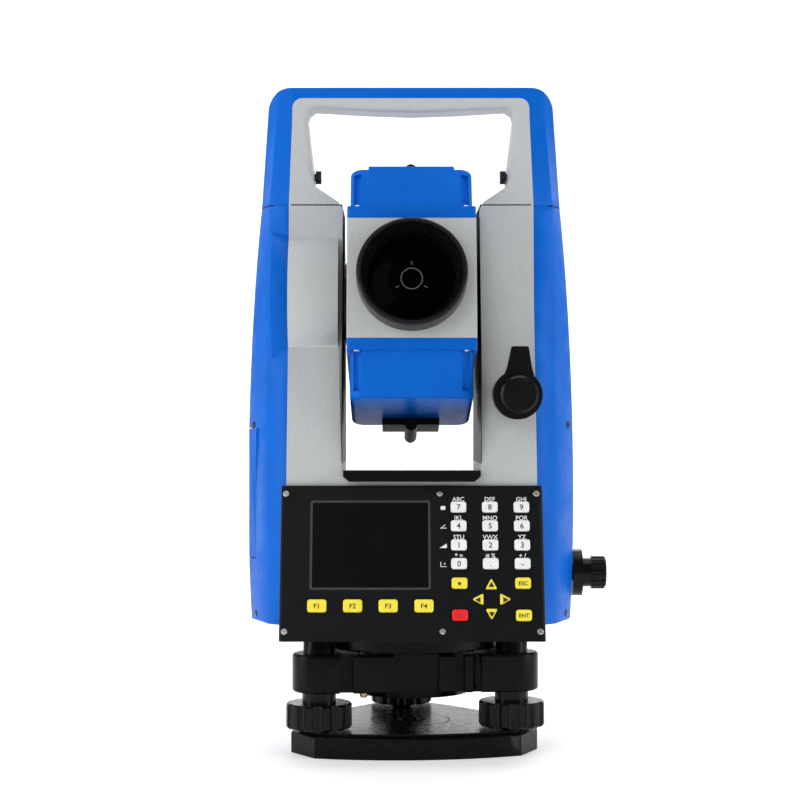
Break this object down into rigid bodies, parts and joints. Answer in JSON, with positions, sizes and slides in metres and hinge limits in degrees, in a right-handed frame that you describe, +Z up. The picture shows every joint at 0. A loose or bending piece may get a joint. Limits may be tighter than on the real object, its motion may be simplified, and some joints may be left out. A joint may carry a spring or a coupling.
{
  "type": "surveying total station",
  "caption": "Surveying instrument: levelling tribrach, turning yoke with a sloping keyboard, tilting telescope, side controls and a carrying handle.",
  "frame": {"origin": "centre of the tripod thread at the underside of the base plate", "axes": "+Z up along the vertical axis; -Y the keyboard and objective side at rest; +X to the right seen from the keyboard"},
  "size_m": [0.185, 0.1538, 0.34],
  "materials": {
    "blue_shell": "satin moulded shell, fine grain",
    "grey_paint": "light grey textured paint on cast light alloy",
    "black_paint": "satin black paint on cast light alloy",
    "black_plastic": "fine matt grain",
    "black_anodised": "black anodised, turned",
    "lens_glass": "coated optical glass",
    "display": "polished dark window",
    "circle_glass": "clear glass with graduations",
    "steel": "turned steel",
    "white_key": "silicone rubber cap",
    "yellow_key": "silicone rubber cap",
    "red_key": "silicone rubber cap"
  },
  "bodies": {
    "base": {"base_plate": "black_paint", "spring_plate": "steel"},
    "foot_screw_front_left": {"foot_screw_front_left": "black_plastic"},
    "foot_screw_front_right": {"foot_screw_front_right": "black_plastic"},
    "foot_screw_rear": {"foot_screw_rear": "black_plastic"},
    "tribrach": {"tribrach_body": "black_paint", "circular_level": "black_anodised", "horizontal_circle": "circle_glass"},
    "lock_knob": {"tribrach_lock_knob": "black_plastic"},
    "alidade": {"alidade_base": "black_paint", "vertical_axis_spindle": "steel", "yoke_frame": "grey_paint", "left_side_cover": "blue_shell", "right_side_cover": "blue_shell", "rear_cover": "black_plastic", "plate_level": "black_plastic", "keyboard_housing": "black_plastic", "display_window": "display", "keyboard_screws": "steel"},
    "handle": {"handle_frame": "grey_paint", "handle_cover": "blue_shell", "handle_screws": "steel"},
    "telescope": {"telescope_body": "grey_paint", "telescope_top_cover": "blue_shell", "telescope_bottom_cover": "blue_shell", "objective_ring": "black_anodised", "telescope_lenses": "lens_glass", "trunnion_shafts": "steel", "telescope_sights": "black_plastic"},
    "focus_ring": {"focus_ring": "black_plastic"},
    "eyepiece_ring": {"eyepiece_ring": "black_plastic"},
    "vertical_clamp": {"vertical_clamp_lever": "black_plastic"},
    "vertical_tangent": {"vertical_tangent_knob": "black_plastic"},
    "horizontal_clamp": {"horizontal_clamp_ring": "black_plastic"},
    "horizontal_tangent": {"horizontal_tangent_knob": "black_plastic"},
    "battery": {"battery_pack": "blue_shell"},
    "key_0": {"key_0": "white_key"},
    "key_1": {"key_1": "white_key"},
    "key_2": {"key_2": "white_key"},
    "key_3": {"key_3": "white_key"},
    "key_4": {"key_4": "white_key"},
    "key_5": {"key_5": "white_key"},
    "key_6": {"key_6": "white_key"},
    "key_7": {"key_7": "white_key"},
    "key_8": {"key_8": "white_key"},
    "key_9": {"key_9": "white_key"},
    "key_dot": {"key_dot": "white_key"},
    "key_minus": {"key_minus": "white_key"},
    "key_f1": {"key_f1": "yellow_key"},
    "key_f2": {"key_f2": "yellow_key"},
    "key_f3": {"key_f3": "yellow_key"},
    "key_f4": {"key_f4": "yellow_key"},
    "key_star": {"key_star": "yellow_key"},
    "key_esc": {"key_esc": "yellow_key"},
    "key_power": {"key_power": "red_key"},
    "key_enter": {"key_enter": "yellow_key"},
    "key_up": {"key_up": "yellow_key"},
    "key_down": {"key_down": "yellow_key"},
    "key_left": {"key_left": "yellow_key"},
    "key_right": {"key_right": "yellow_key"}
  },
  "joints": [
    {"name": "tribrach_lift", "type": "slide", "parent": "base", "child": "tribrach", "axis": [0, 0, 1], "range_m": [-0.003, 0.003]},
    {"name": "foot_screw_front_left_turn", "type": "hinge", "parent": "base", "child": "foot_screw_front_left", "pos_m": [-0.04665, -0.03206, 0.02], "axis": [0, 0, 1], "range_deg": [-1450, 1450]},
    {"name": "foot_screw_front_right_turn", "type": "hinge", "parent": "base", "child": "foot_screw_front_right", "pos_m": [0.05109, -0.02437, 0.02], "axis": [0, 0, 1], "range_deg": [-1450, 1450]},
    {"name": "foot_screw_rear_turn", "type": "hinge", "parent": "base", "child": "foot_screw_rear", "pos_m": [-0.00444, 0.05643, 0.02], "axis": [0, 0, 1], "range_deg": [-1450, 1450]},
    {"name": "lock_knob_turn", "type": "hinge", "parent": "tribrach", "child": "lock_knob", "pos_m": [-0.04152, 0.0198, 0.0415], "axis": [-0.9026, 0.4305, 0], "range_deg": [0, 180]},
    {"name": "vertical_axis", "type": "hinge", "parent": "tribrach", "child": "alidade", "pos_m": [0, 0, 0.0565], "axis": [0, 0, 1], "continuous": true},
    {"name": "handle_lift_off", "type": "slide", "parent": "alidade", "child": "handle", "axis": [0, 0, 1], "range_m": [0, 0.05]},
    {"name": "trunnion_axis", "type": "hinge", "parent": "alidade", "child": "telescope", "pos_m": [0, 0, 0.229], "axis": [1, 0, 0], "continuous": true},
    {"name": "focus_turn", "type": "hinge", "parent": "telescope", "child": "focus_ring", "pos_m": [0, 0, 0.229], "axis": [0, -0.9781, 0.2079], "range_deg": [-180, 180]},
    {"name": "eyepiece_turn", "type": "hinge", "parent": "telescope", "child": "eyepiece_ring", "pos_m": [0, 0, 0.229], "axis": [0, -0.9781, 0.2079], "range_deg": [-90, 90]},
    {"name": "vertical_clamp_turn", "type": "hinge", "parent": "alidade", "child": "vertical_clamp", "pos_m": [0.0522, -0.05, 0.181], "axis": [0, -1, 0], "range_deg": [-75, 0]},
    {"name": "vertical_tangent_turn", "type": "hinge", "parent": "alidade", "child": "vertical_tangent", "pos_m": [0.0522, -0.06, 0.181], "axis": [0, -1, 0], "continuous": true},
    {"name": "horizontal_clamp_turn", "type": "hinge", "parent": "alidade", "child": "horizontal_clamp", "pos_m": [0.086, 0, 0.089], "axis": [1, 0, 0], "range_deg": [0, 60]},
    {"name": "horizontal_tangent_turn", "type": "hinge", "parent": "alidade", "child": "horizontal_tangent", "pos_m": [0.095, 0, 0.089], "axis": [1, 0, 0], "continuous": true},
    {"name": "battery_slide", "type": "slide", "parent": "alidade", "child": "battery", "axis": [-1, 0, 0], "range_m": [0, 0.06]},
    {"name": "key_0_press", "type": "slide", "parent": "alidade", "child": "key_0", "axis": [0, 0.9511, -0.309], "range_m": [0, 0.0007], "stiffness_N_per_m": 1000, "springref_m": -0.0003},
    {"name": "key_1_press", "type": "slide", "parent": "alidade", "child": "key_1", "axis": [0, 0.9511, -0.309], "range_m": [0, 0.0007], "stiffness_N_per_m": 1000, "springref_m": -0.0003},
    {"name": "key_2_press", "type": "slide", "parent": "alidade", "child": "key_2", "axis": [0, 0.9511, -0.309], "range_m": [0, 0.0007], "stiffness_N_per_m": 1000, "springref_m": -0.0003},
    {"name": "key_3_press", "type": "slide", "parent": "alidade", "child": "key_3", "axis": [0, 0.9511, -0.309], "range_m": [0, 0.0007], "stiffness_N_per_m": 1000, "springref_m": -0.0003},
    {"name": "key_4_press", "type": "slide", "parent": "alidade", "child": "key_4", "axis": [0, 0.9511, -0.309], "range_m": [0, 0.0007], "stiffness_N_per_m": 1000, "springref_m": -0.0003},
    {"name": "key_5_press", "type": "slide", "parent": "alidade", "child": "key_5", "axis": [0, 0.9511, -0.309], "range_m": [0, 0.0007], "stiffness_N_per_m": 1000, "springref_m": -0.0003},
    {"name": "key_6_press", "type": "slide", "parent": "alidade", "child": "key_6", "axis": [0, 0.9511, -0.309], "range_m": [0, 0.0007], "stiffness_N_per_m": 1000, "springref_m": -0.0003},
    {"name": "key_7_press", "type": "slide", "parent": "alidade", "child": "key_7", "axis": [0, 0.9511, -0.309], "range_m": [0, 0.0007], "stiffness_N_per_m": 1000, "springref_m": -0.0003},
    {"name": "key_8_press", "type": "slide", "parent": "alidade", "child": "key_8", "axis": [0, 0.9511, -0.309], "range_m": [0, 0.0007], "stiffness_N_per_m": 1000, "springref_m": -0.0003},
    {"name": "key_9_press", "type": "slide", "parent": "alidade", "child": "key_9", "axis": [0, 0.9511, -0.309], "range_m": [0, 0.0007], "stiffness_N_per_m": 1000, "springref_m": -0.0003},
    {"name": "key_dot_press", "type": "slide", "parent": "alidade", "child": "key_dot", "axis": [0, 0.9511, -0.309], "range_m": [0, 0.0007], "stiffness_N_per_m": 1000, "springref_m": -0.0003},
    {"name": "key_minus_press", "type": "slide", "parent": "alidade", "child": "key_minus", "axis": [0, 0.9511, -0.309], "range_m": [0, 0.0007], "stiffness_N_per_m": 1000, "springref_m": -0.0003},
    {"name": "key_f1_press", "type": "slide", "parent": "alidade", "child": "key_f1", "axis": [0, 0.9511, -0.309], "range_m": [0, 0.0007], "stiffness_N_per_m": 1000, "springref_m": -0.0003},
    {"name": "key_f2_press", "type": "slide", "parent": "alidade", "child": "key_f2", "axis": [0, 0.9511, -0.309], "range_m": [0, 0.0007], "stiffness_N_per_m": 1000, "springref_m": -0.0003},
    {"name": "key_f3_press", "type": "slide", "parent": "alidade", "child": "key_f3", "axis": [0, 0.9511, -0.309], "range_m": [0, 0.0007], "stiffness_N_per_m": 1000, "springref_m": -0.0003},
    {"name": "key_f4_press", "type": "slide", "parent": "alidade", "child": "key_f4", "axis": [0, 0.9511, -0.309], "range_m": [0, 0.0007], "stiffness_N_per_m": 1000, "springref_m": -0.0003},
    {"name": "key_star_press", "type": "slide", "parent": "alidade", "child": "key_star", "axis": [0, 0.9511, -0.309], "range_m": [0, 0.0007], "stiffness_N_per_m": 1000, "springref_m": -0.0003},
    {"name": "key_esc_press", "type": "slide", "parent": "alidade", "child": "key_esc", "axis": [0, 0.9511, -0.309], "range_m": [0, 0.0007], "stiffness_N_per_m": 1000, "springref_m": -0.0003},
    {"name": "key_power_press", "type": "slide", "parent": "alidade", "child": "key_power", "axis": [0, 0.9511, -0.309], "range_m": [0, 0.0007], "stiffness_N_per_m": 1000, "springref_m": -0.0003},
    {"name": "key_enter_press", "type": "slide", "parent": "alidade", "child": "key_enter", "axis": [0, 0.9511, -0.309], "range_m": [0, 0.0007], "stiffness_N_per_m": 1000, "springref_m": -0.0003},
    {"name": "key_up_press", "type": "slide", "parent": "alidade", "child": "key_up", "axis": [0, 0.9511, -0.309], "range_m": [0, 0.0007], "stiffness_N_per_m": 1000, "springref_m": -0.0003},
    {"name": "key_down_press", "type": "slide", "parent": "alidade", "child": "key_down", "axis": [0, 0.9511, -0.309], "range_m": [0, 0.0007], "stiffness_N_per_m": 1000, "springref_m": -0.0003},
    {"name": "key_left_press", "type": "slide", "parent": "alidade", "child": "key_left", "axis": [0, 0.9511, -0.309], "range_m": [0, 0.0007], "stiffness_N_per_m": 1000, "springref_m": -0.0003},
    {"name": "key_right_press", "type": "slide", "parent": "alidade", "child": "key_right", "axis": [0, 0.9511, -0.309], "range_m": [0, 0.0007], "stiffness_N_per_m": 1000, "springref_m": -0.0003}
  ],
  "couplings": [
    {"joint": "foot_screw_front_left_turn", "follows": "tribrach_lift", "rad_per_m": -8377.6},
    {"joint": "foot_screw_front_right_turn", "follows": "tribrach_lift", "rad_per_m": -8377.6},
    {"joint": "foot_screw_rear_turn", "follows": "tribrach_lift", "rad_per_m": -8377.6}
  ]
}
